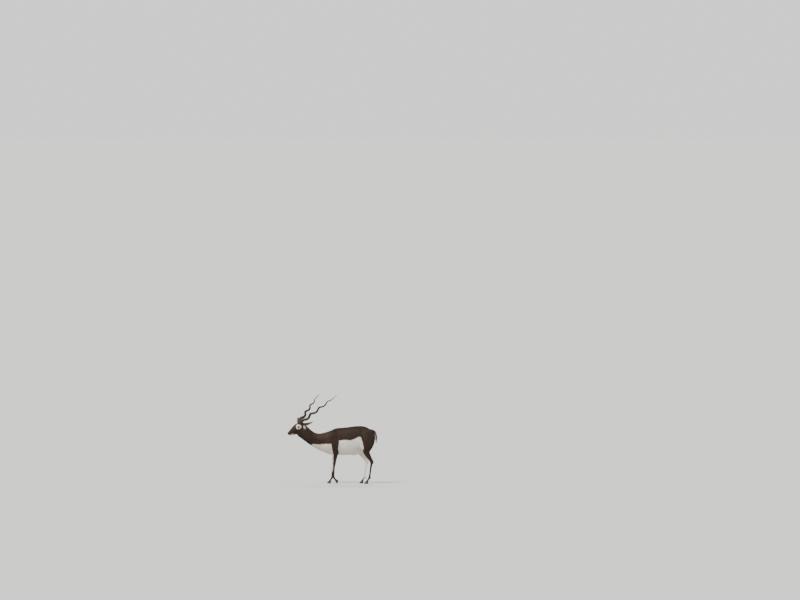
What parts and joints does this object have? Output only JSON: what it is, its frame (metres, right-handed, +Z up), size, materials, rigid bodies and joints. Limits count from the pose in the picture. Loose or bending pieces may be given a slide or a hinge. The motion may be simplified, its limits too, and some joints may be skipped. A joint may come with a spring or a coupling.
{
  "type": "blackbuck",
  "caption": "Life-size male blackbuck antelope standing in mid stride with its head turned, long corkscrew horns, dark coat with white belly and eye rings.",
  "frame": {"origin": "middle of the bounding box at floor level", "axes": "the animal faces -X with its left side towards -Y, +Z up"},
  "size_m": [1.2618, 0.4328, 1.2625],
  "materials": {
    "coat": "short hair, dark brown to black above and white below",
    "horn": "ringed horn, satin",
    "hoof": "horn, satin",
    "eye": "wet and glossy"
  },
  "bodies": {
    "root": {"head": "coat", "neck": "coat", "torso": "coat", "leg_front_left": "coat", "leg_hind_left": "coat", "leg_front_right": "coat", "leg_hind_right": "coat", "eye_left": "eye", "eye_right": "eye", "horn_left": "horn", "horn_right": "horn", "ear_left": "coat", "ear_right": "coat", "hoof_front_left_outer": "hoof", "dewclaw_front_left_outer": "hoof", "hoof_front_left_inner": "hoof", "dewclaw_front_left_inner": "hoof", "hoof_front_right_outer": "hoof", "dewclaw_front_right_outer": "hoof", "hoof_front_right_inner": "hoof", "dewclaw_front_right_inner": "hoof", "hoof_hind_left_outer": "hoof", "dewclaw_hind_left_outer": "hoof", "hoof_hind_left_inner": "hoof", "dewclaw_hind_left_inner": "hoof", "hoof_hind_right_outer": "hoof", "dewclaw_hind_right_outer": "hoof", "hoof_hind_right_inner": "hoof", "dewclaw_hind_right_inner": "hoof", "tail": "coat"}
  },
  "joints": []
}
